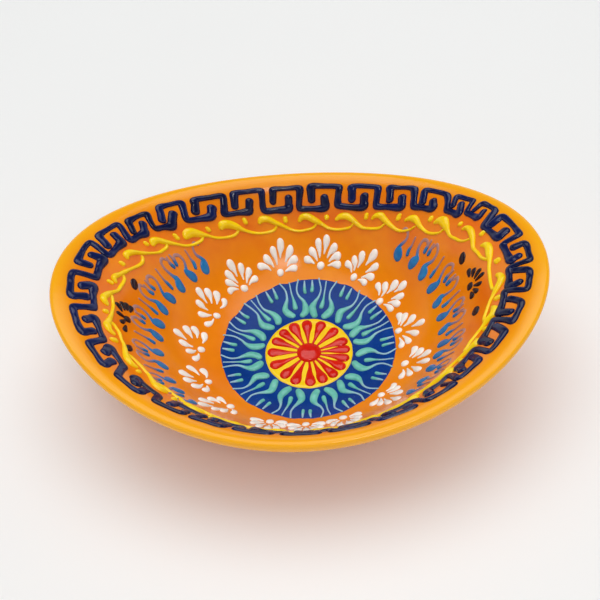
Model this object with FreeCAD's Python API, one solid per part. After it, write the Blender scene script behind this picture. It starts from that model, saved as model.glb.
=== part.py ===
import FreeCAD, Part
import math
import os

V = FreeCAD.Vector

# ---------------------------------------------------------------- driving dimensions, mm
LENGTH = 160.0                 # end to end over the lip, along X
WIDTH = 116.7                  # side to side over the lip, along Y
FLOOR_Z = 7.0                  # height of the inside floor above the table
FOOT_HEIGHT = 2.5              # height of the foot ring
FOOT_RADIUS = 29.0             # outer radius of the foot ring
FOOT_INNER = 25.5              # inner radius of the foot ring
FOOT_EASE = 0.6                # rounding of the foot ring edges
GLAZE = 0.35                   # thickness of the orange glaze coat
GLAZE_EDGE_Z = 4.9             # the glaze stops here, above the bare foot
RING_POLES = 20                # control points round each ring of the wall

# Rings of the inner wall from the floor up to the crest of the lip. Each one gives the half
# length, the half width, and the height above the inside floor at the ends and at the sides.
INNER_RINGS = [
    (14.0, 14.0, 0.0, 0.0), (17.2, 17.2, 0.0, 0.0), (20.5, 20.5, 0.0, 0.0), (25.0, 25.0, 1.4, 1.4),
    (31.0, 30.5, 3.4, 3.7), (37.5, 35.2, 6.2, 6.8), (45.5, 39.0, 12.2, 10.6),
    (53.5, 42.3, 23.0, 14.4), (60.8, 45.4, 33.6, 18.6), (67.2, 48.6, 39.8, 23.2),
    (73.0, 52.3, 43.0, 28.6), (77.8, 56.1, 44.0, 30.9)]

# The same for the outside of the lip and the outer wall, down to the foot.
OUTER_RINGS = [
    (LENGTH / 2, WIDTH / 2, 43.8, 30.3), (LENGTH / 2, WIDTH / 2, 41.6, 28.0),
    (78.8, 57.4, 39.6, 25.8), (75.0, 55.4, 38.9, 24.0), (69.9, 52.2, 36.1, 20.3),
    (64.2, 48.9, 30.5, 15.9), (57.0, 45.8, 20.2, 11.7), (48.7, 42.3, 9.2, 7.4),
    (40.0, 38.1, 2.6, 3.2), (33.6, 33.4, -0.8, -0.6), (30.2, 30.2, -2.4, -2.4),
    (28.0, 28.0, -3.6, -3.6), (26.5, 26.5, -4.5, -4.5), (23.0, 23.0, -4.5, -4.5)]

# Painted bands of the inner wall, as (half length, half width) in plan.
KEY_INNER = (66.9, 47.9)
KEY_OUTER = (74.0, 52.3)
SCROLL_INNER = (61.3, 43.6)
SCROLL_OUTER = (65.8, 46.8)
BLUE_HEADS = (47.3, 42.0)
BLACK_FAN = (55.9, 40.0)

# Each running band as (inner oval, outer oval, length of one repeat, true width of the band).
KEY_BAND = (KEY_INNER, KEY_OUTER, 12.9, 7.7)
SCROLL_BAND = (SCROLL_INNER, SCROLL_OUTER, 13.1, 5.5)
KEY_LINE = 2.3                 # width of the key's line

# Round medallion on the floor, painted a little off the middle of the bowl.
MEDALLION = (1.2, 0.6)
MEDALLION_RADIUS = 29.8
SUN = (1.4, 0.3)
SUN_RADIUS = 15.1
BOSS_RADIUS = 4.1

# Where the hand set each repeat, in degrees round the bowl from +X.
KEY_ANGLES = [0.7, 14.0, 29.0, 36.5, 45.0, 55.5, 67.0, 78.5, 90.0, 100.3, 111.3, 124.0,
              136.2, 146.6, 159.4, 174.3, 190.2, 205.0, 218.6, 231.4, 243.0, 254.0, 265.5,
              277.0, 289.0, 301.0, 312.6, 324.0, 336.5, 348.5]
SCROLL_ANGLES = [15.8, 30.0, 42.0, 53.0, 64.5, 76.0, 88.6, 101.3, 114.0, 127.0, 140.6,
                 153.0, 167.5, 181.0, 196.4, 212.4, 225.5, 238.0, 250.5, 263.0, 276.0,
                 289.0, 302.0, 315.5, 328.5, 342.0, 357.0]
FAN_ANGLES = [8.7, 34.7, 58.0, 79.0, 104.0, 128.0, 154.0, 180.0, 204.0, 226.0, 248.0,
              270.0, 293.0, 318.5, 343.5]
GROUP_ANGLES = [17, 45, 76, 102, 133, 161, 189, 220, 252, 284, 314, 347]
PETAL_ANGLES = [3, 20, 45, 70, 93, 114, 134, 154, 177, 202, 227, 248, 271, 291, 310,
                328.5, 346]
BLUE_PAIR_ANGLES = [39.5, 22.5, 6.5, -8.5, -23.0, -38.0]

# Thickness of each deposit, measured straight up.
GROUND_RISE = 0.3
SUN_RISE = 0.5
PETAL_RISE = 0.8
BOSS_RISE = 1.3
TURQUOISE_RISE = 0.7
KEY_RISE = 1.5
SCROLL_RISE = 2.0
WHITE_RISE = 0.7
BLUE_RISE = 1.2
BLACK_RISE = 1.0


# ---------------------------------------------------------------- helpers: wall surfaces
def section_normal(before, after, radius_index, height_index):
    """Unit normal of a wall section at one ring, pointing out of the clay."""
    run = after[radius_index] - before[radius_index]
    rise = after[height_index] - before[height_index]
    size = math.hypot(run, rise)
    return -rise / size, run / size


def shifted_rings(rings, distance):
    """Rings moved along the section normals; a negative distance moves them into the clay."""
    moved = []
    last = len(rings) - 1
    for i, ring in enumerate(rings):
        before = rings[max(i - 1, 0)]
        after = rings[min(i + 1, last)]
        end_r, end_z = section_normal(before, after, 0, 2)
        side_r, side_z = section_normal(before, after, 1, 3)
        moved.append((ring[0] + distance * end_r, ring[1] + distance * side_r,
                      ring[2] + distance * end_z, ring[3] + distance * side_z))
    return moved


def wall_surface(rings):
    """One smooth closed surface through all the rings, heights from the inside floor."""
    step = 2 * math.pi / RING_POLES
    widen_plan = 3 / (2 + math.cos(step))
    widen_height = 3 / (2 + math.cos(2 * step))
    poles = []
    for half_length, half_width, end_z, side_z in rings:
        middle = (end_z + side_z) / 2
        swing = (end_z - side_z) / 2
        row = []
        for k in range(RING_POLES):
            angle = k * step
            row.append(V(half_length * math.cos(angle) * widen_plan,
                         half_width * math.sin(angle) * widen_plan,
                         FLOOR_Z + middle + swing * math.cos(2 * angle) * widen_height))
        poles.append(row)
    count = len(rings)
    knots = list(range(count - 2))
    mults = [4] + [1] * (count - 4) + [4]
    surface = Part.BSplineSurface()
    surface.buildFromPolesMultsKnots(poles, mults, [1] * (RING_POLES + 1), knots,
                                     list(range(RING_POLES + 1)), False, True, 3, 3)
    return surface


def closed_body(rings):
    """Solid between the wall surface and the two flat discs that close its ends."""
    wall = wall_surface(rings).toShape()
    faces = [wall]
    for edge in wall.Edges:
        flat = edge.BoundBox.ZLength < 1e-6
        if flat:
            faces.append(Part.Face(Part.Wire([edge])))
    shell = Part.Shell(faces)
    shell.sewShape()
    body = Part.Solid(shell)
    if body.Volume < 0:
        body.reverse()
    return body


def foot_ring():
    """Foot ring turned under the bowl, its edges eased."""
    ring = Part.makeCylinder(FOOT_RADIUS, FOOT_HEIGHT + 1.5)
    ring = ring.cut(Part.makeCylinder(FOOT_INNER, FOOT_HEIGHT + 1.5))
    bottom = [edge for edge in ring.Edges
              if edge.BoundBox.ZMax < 1e-6 and edge.BoundBox.ZLength < 1e-6]
    return ring.makeFillet(FOOT_EASE, bottom)


# ---------------------------------------------------------------- helpers: stroke outlines
def smooth_path(points, per_span):
    """Points along a smooth curve through the given (x, y, half width) stations."""
    path = []
    last = len(points) - 1
    for i in range(last):
        p0 = points[max(i - 1, 0)]
        p1 = points[i]
        p2 = points[i + 1]
        p3 = points[min(i + 2, last)]
        for k in range(per_span):
            t = k / per_span
            path.append(tuple(
                0.5 * (2 * b + (c - a) * t + (2 * a - 5 * b + 4 * c - d) * t * t
                       + (3 * b - a - 3 * c + d) * t * t * t)
                for a, b, c, d in zip(p0, p1, p2, p3)))
    path.append(points[last])
    return path


def brush_points(path):
    """Points round a brush stroke of changing half width."""
    left = []
    right = []
    last = len(path) - 1
    for i, (x, y, half) in enumerate(path):
        before = path[max(i - 1, 0)]
        after = path[min(i + 1, last)]
        run = after[0] - before[0]
        rise = after[1] - before[1]
        size = math.hypot(run, rise)
        left.append((x - rise / size * half, y + run / size * half))
        right.append((x + rise / size * half, y - run / size * half))
    outline = left + end_cap(path[last], path[last - 1], path[last][2], (45, 0, -45))
    return outline + right[::-1] + end_cap(path[0], path[1], path[0][2], (45, 0, -45))


def end_cap(end, inner, half, turns):
    """Points that round off the end of a stroke, at the given turns from its heading."""
    heading = math.atan2(end[1] - inner[1], end[0] - inner[0])
    points = []
    for turn in turns:
        angle = heading + math.radians(turn)
        points.append((end[0] + half * math.cos(angle), end[1] + half * math.sin(angle)))
    return points


def flat_face(points):
    """Flat face inside a closed run of short straight edges."""
    corners = [V(x, y, 0) for x, y in points]
    return Part.Face(Part.makePolygon(corners + [corners[0]]))


def mitred_points(path, half):
    """Points round a stroke of even half width with square corners, bevelled outside."""
    bevel = 0.45 * half
    left = []
    right = []
    for i in range(1, len(path) - 1):
        ax, ay = unit(path[i - 1], path[i])
        bx, by = unit(path[i], path[i + 1])
        scale = half / (1 + ax * bx + ay * by)
        bend = ax * by - ay * bx
        for points, sign in ((left, 1), (right, -1)):
            cx = path[i][0] - sign * (ay + by) * scale
            cy = path[i][1] + sign * (ax + bx) * scale
            if sign * bend < -0.3:
                points.append((cx - ax * bevel, cy - ay * bevel))
                points.append((cx + bx * bevel, cy + by * bevel))
            else:
                points.append((cx, cy))
    turns = (90, 50, 0, -50, -90)
    outline = left + end_cap(path[-1], path[-2], half, turns)
    return outline + right[::-1] + end_cap(path[0], path[1], half, turns)


def unit(start, end):
    size = math.hypot(end[0] - start[0], end[1] - start[1])
    return (end[0] - start[0]) / size, (end[1] - start[1]) / size


def stroke(points):
    return flat_face(brush_points(smooth_path(points, 3)))


def dot(x, y, radius):
    return Part.Face(Part.Wire([Part.makeCircle(radius, V(x, y, 0))]))


def turned(points, angle, centre=(0.0, 0.0)):
    """Turn (outward, sideways, half width) stations to an angle round a centre."""
    c = math.cos(math.radians(angle))
    s = math.sin(math.radians(angle))
    return [(centre[0] + out * c - side * s, centre[1] + out * s + side * c, half)
            for out, side, half in points]


def on_oval(oval, angle):
    a = math.radians(angle)
    return oval[0] * math.cos(a), oval[1] * math.sin(a)


def in_band(inner, outer, angle, across):
    """Plan position in a band between two ovals, 0 at the inner and 1 at the outer one."""
    xi, yi = on_oval(inner, angle)
    xo, yo = on_oval(outer, angle)
    return xi + (xo - xi) * across, yi + (yo - yi) * across


def repeat_angle(angles, index, along):
    """Angle at a distance along, in repeats, from the repeat with this index."""
    count = len(angles)
    whole = math.floor(along)
    start = index + whole
    here = angles[start % count] + 360 * (start // count)
    after = angles[(start + 1) % count] + 360 * ((start + 1) // count)
    return here + (after - here) * (along - whole)


def placed_in_band(points, band, angles, index):
    """Move an outline drawn flat, in mm along and across, into one repeat of a band."""
    inner, outer, pitch, width = band
    placed = []
    for along, across in points:
        angle = repeat_angle(angles, index, along / pitch)
        placed.append(in_band(inner, outer, angle, across / width))
    return placed


def outward_angle(oval, angle):
    """Heading square to an oval at one of its points."""
    a = math.radians(angle)
    return math.degrees(math.atan2(oval[0] * math.sin(a), oval[1] * math.cos(a)))


# ---------------------------------------------------------------- helpers: laying deposits
def inner_patch(wall, rings, outline):
    """The small area of the inner wall that lies under an outline."""
    step = 2 * math.pi / RING_POLES
    points = outline.OuterWire.discretize(24)
    turns = []
    rows = []
    start = math.atan2(points[0].y, points[0].x)
    for point in points:
        row = 0
        while (point.x / rings[row][0]) ** 2 + (point.y / rings[row][1]) ** 2 > 1:
            row += 1
        rows.append(row)
        for ring in (rings[0], rings[-1]):
            turn = math.atan2(point.y / ring[1], point.x / ring[0])
            turns.append((turn - start + math.pi) % (2 * math.pi) - math.pi)
    low = (start + min(turns)) / step - 1.3
    high = (start + max(turns)) / step - 0.7
    if low < 0:
        low += RING_POLES
        high += RING_POLES
    patch = wall.copy()
    patch.segment(max(min(rows) - 3.0, 0), min(max(rows) + 0.5, len(rings) - 3), low, high)
    return patch.toShape()


def laid_on_wall(outlines, rise, lift=0.0):
    """Deposits seated on the glazed wall, one solid for each outline."""
    rings = INNER_RINGS + OUTER_RINGS[:3]
    wall = wall_surface(rings)
    solids = []
    for outline in outlines:
        seat = inner_patch(wall, rings, outline).common(outline.extrude(V(0, 0, 70)))
        seat.translate(V(0, 0, lift))
        solids.append(seat.Faces[0].extrude(V(0, 0, rise)))
    return Part.Compound(solids)


def laid_on_floor(outlines, base, rise):
    """Deposits seated on a flat level above the inside floor."""
    solids = []
    for face in outlines:
        solid = face.extrude(V(0, 0, rise))
        solid.translate(V(0, 0, FLOOR_Z + base))
        solids.append(solid)
    return Part.Compound(solids)


# ---------------------------------------------------------------- sub-parts
def make_clay_body():
    """Fired clay: the bowl under its glaze, the bare base and the foot ring."""
    full = closed_body(INNER_RINGS + OUTER_RINGS)
    core = closed_body(shifted_rings(INNER_RINGS + OUTER_RINGS, -GLAZE))
    below = Part.makeBox(200, 200, GLAZE_EDGE_Z, V(-100, -100, 0))
    return core.fuse([full.common(below), foot_ring()]).removeSplitter()


def make_orange_glaze(clay):
    """Glaze coat over the inside, the lip and the outside, stopping above the foot."""
    full = closed_body(INNER_RINGS + OUTER_RINGS)
    above = Part.makeBox(200, 200, 60, V(-100, -100, GLAZE_EDGE_Z))
    return full.common(above).cut(clay)


def make_cobalt_ground():
    """Thin blue ring of slip between the sun and the edge of the medallion."""
    body = closed_body(INNER_RINGS + OUTER_RINGS)
    raised = body.copy()
    raised.translate(V(0, 0, GROUND_RISE))
    low = FLOOR_Z - 1.0
    ring = Part.makeCylinder(MEDALLION_RADIUS, 8, V(MEDALLION[0], MEDALLION[1], low))
    ring = ring.cut(Part.makeCylinder(SUN_RADIUS + 0.35, 8, V(SUN[0], SUN[1], low)))
    return ring.common(raised).cut(body)


def make_sun_disc():
    return laid_on_floor([dot(SUN[0], SUN[1], SUN_RADIUS)], 0.0, SUN_RISE)


def make_red_petals():
    """Teardrop petals with their round heads at the edge of the sun."""
    shape = [(4.9, 0, 0.30), (7.5, 0, 0.55), (10.2, 0, 1.15), (12.4, 0, 1.55), (13.1, 0, 1.45)]
    faces = [stroke(turned(shape, angle, SUN)) for angle in PETAL_ANGLES]
    return laid_on_floor(faces, SUN_RISE, PETAL_RISE)


def make_red_boss():
    """Domed drop of enamel in the middle of the sun."""
    base = FLOOR_Z + SUN_RISE
    ball_radius = (BOSS_RADIUS ** 2 + BOSS_RISE ** 2) / (2 * BOSS_RISE)
    ball = Part.makeSphere(ball_radius, V(SUN[0], SUN[1], base + BOSS_RISE - ball_radius))
    disc = Part.makeCylinder(BOSS_RADIUS + 1, BOSS_RISE + 1, V(SUN[0], SUN[1], base))
    return ball.common(disc)


def make_turquoise_pairs():
    """Pairs of curled strokes with heavy heads beside the sun and thin tails."""
    shape = [(17.0, 1.9, 1.05), (18.7, 2.6, 1.15), (20.6, 3.2, 1.00), (22.8, 2.8, 0.65),
             (25.0, 2.0, 0.42), (27.0, 1.9, 0.35), (29.2, 2.7, 0.30)]
    faces = []
    for angle in GROUP_ANGLES:
        for hand in (1, -1):
            curled = [(out, hand * side, half) for out, side, half in shape]
            faces.append(stroke(turned(curled, angle, MEDALLION)))
    return laid_on_wall(faces, TURQUOISE_RISE, GROUND_RISE)


def make_turquoise_darts():
    """One small straight stroke inside each pair."""
    shape = [(20.2, 0, 0.80), (21.6, 0, 0.70), (23.6, 0, 0.38), (29.2, 0, 0.28)]
    faces = [stroke(turned(shape, angle, MEDALLION)) for angle in GROUP_ANGLES]
    return laid_on_wall(faces, TURQUOISE_RISE, GROUND_RISE)


def make_turquoise_edge_strokes():
    """Two short strokes at the edge of the medallion between neighbouring pairs."""
    shape = [(26.0, 0, 0.60), (27.2, 0, 0.55), (29.0, 0, 0.25)]
    faces = []
    for i in range(len(GROUP_ANGLES)):
        middle = repeat_angle(GROUP_ANGLES, i, 0.5)
        for turn in (-2.7, 2.7):
            faces.append(stroke(turned(shape, middle + turn, MEDALLION)))
    return laid_on_wall(faces, TURQUOISE_RISE, GROUND_RISE)


def make_greek_key():
    """Interlocked hooks of dark slip, one continuous line each, just below the lip."""
    line = [(-8.7, 4.1), (-9.2, 0.2), (-4.9, 0.2), (-0.5, 0.2), (0.3, 7.5),
            (4.8, 7.5), (9.1, 7.5), (8.7, 3.5)]
    flat = mitred_points(line, KEY_LINE / 2)
    faces = []
    for i in range(len(KEY_ANGLES)):
        faces.append(flat_face(placed_in_band(flat, KEY_BAND, KEY_ANGLES, i)))
    return laid_on_wall(faces, KEY_RISE)


def make_yellow_scroll():
    """Running wave of yellow slip, a thin line swelling into each curled head."""
    line = [(-11.2, 0.5, 0.40), (-8.9, 0.0, 0.40), (-5.9, 0.3, 0.50), (-3.4, 1.6, 0.72),
            (-1.3, 3.2, 1.05), (0.4, 3.8, 1.20), (1.8, 3.0, 0.65)]
    flat = brush_points(smooth_path(line, 4))
    faces = []
    for i in range(len(SCROLL_ANGLES)):
        faces.append(flat_face(placed_in_band(flat, SCROLL_BAND, SCROLL_ANGLES, i)))
    return laid_on_wall(faces, SCROLL_RISE)


def make_yellow_dots():
    """One drop of yellow slip above each trough of the wave."""
    flat = []
    for k in range(10):
        turn = 2 * math.pi * k / 10
        flat.append((6.1 + 0.8 * math.cos(turn), 4.4 + 0.8 * math.sin(turn)))
    faces = []
    for i in range(len(SCROLL_ANGLES)):
        faces.append(flat_face(placed_in_band(flat, SCROLL_BAND, SCROLL_ANGLES, i)))
    return laid_on_wall(faces, SCROLL_RISE)


def fan_centre(angle):
    return 34.2 * math.cos(math.radians(angle)) - 0.3, 33.8 * math.sin(math.radians(angle))


def make_white_dots():
    faces = []
    for angle in FAN_ANGLES:
        x, y = fan_centre(angle)
        faces.append(dot(x, y, 1.0))
    return laid_on_wall(faces, WHITE_RISE)


def make_white_drops():
    """Seven teardrops fanned round each white dot, points toward the dot."""
    faces = []
    for angle in FAN_ANGLES:
        centre = fan_centre(angle)
        for turn in (-88, -60, -31, 0, 31, 60, 88):
            reach = 5.0 + 2.1 * math.cos(math.radians(turn))
            shape = [(reach - 3.6, 0, 0.28), (reach - 2.2, 0, 0.50), (reach - 0.8, 0, 0.88),
                     (reach, 0, 0.95)]
            faces.append(stroke(turned(shape, angle + turn, centre)))
    return laid_on_wall(faces, WHITE_RISE)


def blue_outlines(end):
    """Six pairs of curled strokes up one end of the wall; end is 0 for +X and 180 for -X."""
    pair = [(-0.4, 2.3, 1.15), (0.8, 2.8, 1.35), (2.4, 2.7, 0.85), (3.8, 2.0, 0.45),
            (5.3, 2.0, 0.38), (6.5, 2.9, 0.32)]
    dart = [(0.9, 0, 0.55), (2.0, 0, 0.50), (3.4, 0, 0.34), (6.2, 0, 0.28)]
    mark = [(4.2, 0, 0.55), (5.0, 0, 0.50), (6.2, 0, 0.28)]
    faces = []
    for i, angle in enumerate(BLUE_PAIR_ANGLES):
        centre = on_oval(BLUE_HEADS, end + angle)
        heading = outward_angle(BLUE_HEADS, end + angle)
        reach = 0.8 if abs(angle) > 30 else 1.0
        for hand in (1, -1):
            curled = [(out * reach, hand * side, half) for out, side, half in pair]
            faces.append(stroke(turned(curled, heading, centre)))
        short = [(out * reach, side, half) for out, side, half in dart]
        faces.append(stroke(turned(short, heading, centre)))
        if i > 0:
            between = end + (angle + BLUE_PAIR_ANGLES[i - 1]) / 2
            centre = on_oval(BLUE_HEADS, between)
            heading = outward_angle(BLUE_HEADS, between)
            for side in (-1.0, 1.0):
                shape = [(out, side, half) for out, _, half in mark]
                faces.append(stroke(turned(shape, heading, centre)))
    return faces


def make_blue_strokes(end):
    return laid_on_wall(blue_outlines(end), BLUE_RISE)


def make_black_fan(end):
    """Dark fan of seven short strokes with its dot, and a drop on either side."""
    lean = end + (4.7 if end == 0 else 4.0)
    centre = on_oval(BLACK_FAN, lean)
    heading = outward_angle(BLACK_FAN, lean) if end == 0 else 182.0
    faces = [dot(centre[0], centre[1], 0.95)]
    for turn in (-84, -58, -30, 0, 30, 58, 84):
        reach = 3.6 + 1.2 * abs(math.sin(math.radians(turn)))
        shape = [(reach - 1.7, 0, 0.35), (reach - 0.6, 0, 0.62), (reach, 0, 0.70)]
        faces.append(stroke(turned(shape, heading + turn, centre)))
    for turn in (-17.0, 17.0):
        x, y = on_oval((BLACK_FAN[0] + 1.6, BLACK_FAN[1] + 1.6), lean + turn)
        shape = [(x, y - 0.8, 0.65), (x, y, 0.85), (x, y + 0.8, 0.65)]
        faces.append(stroke(shape))
    return laid_on_wall(faces, BLACK_RISE)


def main():
    os.makedirs("parts", exist_ok=True)
    clay = make_clay_body()
    shapes = {
        "clay_body": clay,
        "orange_glaze": make_orange_glaze(clay),
        "cobalt_ground": make_cobalt_ground(),
        "sun_disc": make_sun_disc(),
        "red_petals": make_red_petals(),
        "red_boss": make_red_boss(),
        "turquoise_pairs": make_turquoise_pairs(),
        "turquoise_darts": make_turquoise_darts(),
        "turquoise_edge_strokes": make_turquoise_edge_strokes(),
        "greek_key": make_greek_key(),
        "yellow_scroll": make_yellow_scroll(),
        "yellow_dots": make_yellow_dots(),
        "white_drops": make_white_drops(),
        "white_dots": make_white_dots(),
        "blue_strokes_right": make_blue_strokes(0),
        "blue_strokes_left": make_blue_strokes(180),
        "black_fan_right": make_black_fan(0),
        "black_fan_left": make_black_fan(180),
    }
    for name, shape in shapes.items():
        shape.exportStep("parts/" + name + ".step")
        print(name, len(shape.Solids), round(shape.Volume, 1), shape.isValid())


main()
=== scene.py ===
import math

import bpy
import numpy as np
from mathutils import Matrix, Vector


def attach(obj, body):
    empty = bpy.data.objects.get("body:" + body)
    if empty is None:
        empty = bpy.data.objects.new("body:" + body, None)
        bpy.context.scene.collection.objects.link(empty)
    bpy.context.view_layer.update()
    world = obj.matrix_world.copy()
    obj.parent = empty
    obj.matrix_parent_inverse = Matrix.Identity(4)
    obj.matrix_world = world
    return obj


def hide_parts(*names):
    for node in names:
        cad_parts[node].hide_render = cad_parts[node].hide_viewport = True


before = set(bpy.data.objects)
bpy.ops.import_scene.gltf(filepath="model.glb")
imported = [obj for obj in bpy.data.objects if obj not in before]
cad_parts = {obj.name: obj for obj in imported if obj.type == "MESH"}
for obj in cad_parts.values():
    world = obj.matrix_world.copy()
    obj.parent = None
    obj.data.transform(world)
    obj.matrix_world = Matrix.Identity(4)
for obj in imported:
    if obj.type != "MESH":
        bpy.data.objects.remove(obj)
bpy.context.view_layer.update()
MM = 0.001
rng = np.random.RandomState(11)

# ---------------------------------------------------------------- the bowl's wall, in mm, as in the CAD
FLOOR_Z = 7.0                   # height of the inside floor above the table
# Rings of the wall: half length, half width, height above the inside floor at the ends and at
# the sides. The inner ones run from the floor up to the lip, the outer ones down to the foot.
INNER_RINGS = [
    (14.0, 14.0, 0.0, 0.0), (17.2, 17.2, 0.0, 0.0), (20.5, 20.5, 0.0, 0.0), (25.0, 25.0, 1.4, 1.4),
    (31.0, 30.5, 3.4, 3.7), (37.5, 35.2, 6.2, 6.8), (45.5, 39.0, 12.2, 10.6),
    (53.5, 42.3, 23.0, 14.4), (60.8, 45.4, 33.6, 18.6), (67.2, 48.6, 39.8, 23.2),
    (73.0, 52.3, 43.0, 28.6), (77.8, 56.1, 44.0, 30.9)]
OUTER_RINGS = [
    (80.0, 58.35, 43.8, 30.3), (80.0, 58.35, 41.6, 28.0),
    (78.8, 57.4, 39.6, 25.8), (75.0, 55.4, 38.9, 24.0), (69.9, 52.2, 36.1, 20.3),
    (64.2, 48.9, 30.5, 15.9), (57.0, 45.8, 20.2, 11.7), (48.7, 42.3, 9.2, 7.4),
    (40.0, 38.1, 2.6, 3.2), (33.6, 33.4, -0.8, -0.6), (30.2, 30.2, -2.4, -2.4),
    (28.0, 28.0, -3.6, -3.6), (26.5, 26.5, -4.5, -4.5), (23.0, 23.0, -4.5, -4.5)]
GLAZE_EDGE_Z = 4.9              # the glaze stops here, above the bare foot
GROUND_RISE = 0.3               # thickness of the cobalt ground
SUN_RISE = 0.5                  # thickness of the yellow sun
SINK = 0.05                     # how far the edge of a deposit dips under its seat
PATH_STEPS = 6                  # stations between two points of a stroke
PROFILE_ROWS = 2400             # rows of the smooth wall profile


def wall_profile(rings, samples):
    """Smooth rows (half length, half width, end height, side height) down the ring table."""
    rings = np.array(rings, float)
    spans = len(rings) - 3
    knots = np.concatenate([[0] * 3, np.arange(spans + 1), [spans] * 3]).astype(float)
    t = np.linspace(0, spans - 1e-9, samples)[:, None]
    basis = ((knots[:-1] <= t) & (t < knots[1:])).astype(float)
    for degree in (1, 2, 3):
        rise = knots[degree:-1] - knots[:-degree - 1]
        fall = knots[degree + 1:] - knots[1:-degree]
        up = np.where(rise > 0, (t - knots[:-degree - 1]) / np.where(rise > 0, rise, 1), 0)
        down = np.where(fall > 0, (knots[degree + 1:] - t) / np.where(fall > 0, fall, 1), 0)
        basis = up * basis[:, :-1] + down * basis[:, 1:]
    return basis @ rings


PROFILE = wall_profile(INNER_RINGS + OUTER_RINGS, PROFILE_ROWS)
WIDEST = int(np.argmax(PROFILE[:, 0]))
INSIDE = PROFILE[:WIDEST]


def wall_height(x, y):
    """Height in mm of the glazed inside at plan points."""
    low = np.zeros_like(x)
    high = np.full_like(x, len(INSIDE) - 1.0)
    rows = np.arange(len(INSIDE))
    for _ in range(24):
        middle = (low + high) / 2
        outside = ((x / np.interp(middle, rows, INSIDE[:, 0])) ** 2
                   + (y / np.interp(middle, rows, INSIDE[:, 1])) ** 2) > 1
        low = np.where(outside, middle, low)
        high = np.where(outside, high, middle)
    a, b, end_z, side_z = [np.interp(low, rows, INSIDE[:, k]) for k in range(4)]
    angle = np.arctan2(y / b, x / a)
    return FLOOR_Z + (end_z + side_z) / 2 + (end_z - side_z) / 2 * np.cos(2 * angle)


def on_wall(x, y, height):
    """Points standing the given height in mm off the glazed inside, square to it."""
    z = wall_height(x, y)
    step = 0.15
    slope_x = (wall_height(x + step, y) - z) / step
    slope_y = (wall_height(x, y + step) - z) / step
    size = np.sqrt(slope_x ** 2 + slope_y ** 2 + 1)
    return np.stack([x - slope_x / size * height, y - slope_y / size * height,
                     z + height / size], -1)


# ---------------------------------------------------------------- meshes
def new_piece(name, points_mm, faces, material, replaced, attributes):
    """One visible piece in place of its CAD nodes, with a value per point for its material."""
    mesh = bpy.data.meshes.new(name)
    mesh.from_pydata([tuple(p) for p in (np.asarray(points_mm) * MM)], [], faces)
    mesh.validate()
    for key, values in attributes.items():
        layer = mesh.attributes.new(key, "FLOAT", "POINT")
        layer.data.foreach_set("value", np.asarray(values, np.float32))
    mesh.shade_smooth()
    mesh.materials.append(material)
    piece = bpy.data.objects.new(name, mesh)
    bpy.context.scene.collection.objects.link(piece)
    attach(piece, "root")
    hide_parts(*replaced)


def grid_faces(rows, columns):
    """Quads of a grid whose rows close on themselves."""
    faces = []
    for i in range(rows - 1):
        for k in range(columns):
            a = i * columns + k
            b = i * columns + (k + 1) % columns
            faces.append((a, b, b + columns, a + columns))
    return faces


def smooth_path(points):
    """Stations along a smooth curve through (x, y, half width) points."""
    points = np.array(points, float)
    padded = np.concatenate([points[:1], points, points[-1:]])
    t = (np.arange(PATH_STEPS) / PATH_STEPS)[:, None]
    path = []
    for i in range(len(points) - 1):
        p0, p1, p2, p3 = padded[i:i + 4]
        path.append(0.5 * (2 * p1 + (p2 - p0) * t + (2 * p0 - 5 * p1 + 4 * p2 - p3) * t ** 2
                           + (3 * p1 - p0 - 3 * p2 + p3) * t ** 3))
    path.append(points[-1:])
    return np.concatenate(path)


def wobble(x, y, size, scale, seed):
    """Smooth random field over the plan, about -size to size."""
    local = np.random.RandomState(seed)
    total = np.zeros_like(x)
    for _ in range(5):
        angle = local.uniform(0, 2 * math.pi)
        rate = local.uniform(0.6, 1.5) / scale
        phase = local.uniform(0, 2 * math.pi)
        total += np.sin((x * math.cos(angle) + y * math.sin(angle)) * 2 * math.pi * rate + phase)
    return total * size / 2.5


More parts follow.
